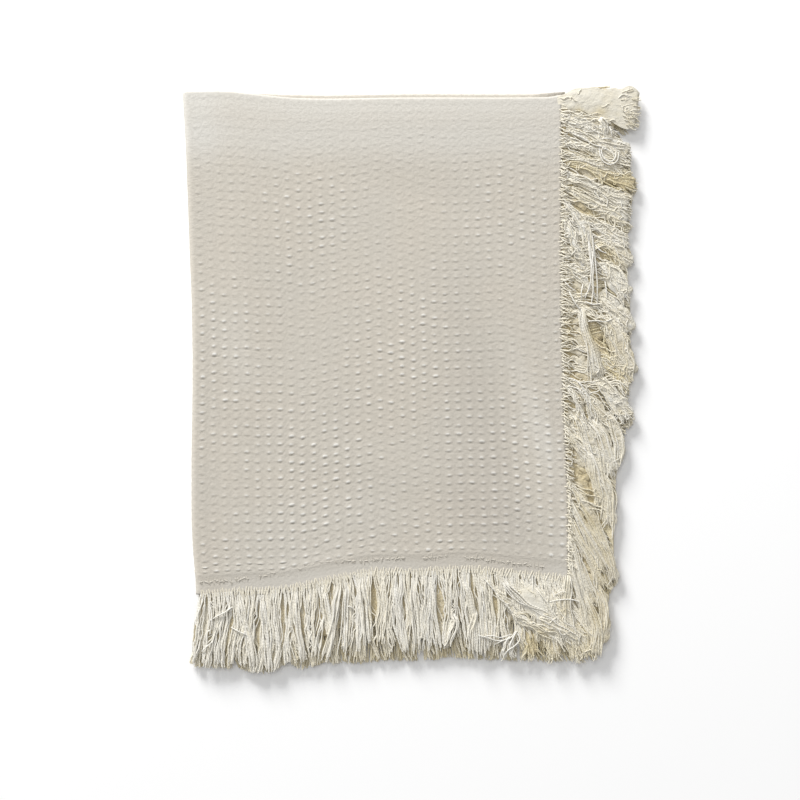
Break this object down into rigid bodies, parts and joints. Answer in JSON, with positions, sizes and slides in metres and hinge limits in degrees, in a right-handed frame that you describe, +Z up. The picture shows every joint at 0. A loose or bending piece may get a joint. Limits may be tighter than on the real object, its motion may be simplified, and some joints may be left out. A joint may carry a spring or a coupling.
{
  "type": "throw blanket",
  "caption": "Cream woven cotton throw blanket folded in quarters and laid flat, with a long cut-yarn fringe along its open side and open end.",
  "frame": {"origin": "centre of the footprint of the folded blanket with its fringe, on the surface it lies on", "axes": "+X across the folded panel from the closed side fold to the fringed side, +Y along the panel from the fringed end to the closed end fold, +Z up from the surface"},
  "size_m": [0.6316, 0.8066, 0.0152],
  "materials": {
    "cotton_cloth": "matt woven cotton with a raised stitch-like weave",
    "cotton_fringe": "matt loose cotton yarn"
  },
  "bodies": {
    "root": {"cloth": "cotton_cloth", "fringe_side_upper": "cotton_fringe", "fringe_side_lower": "cotton_fringe", "fringe_end_outer": "cotton_fringe", "fringe_end_inner": "cotton_fringe"}
  },
  "joints": []
}
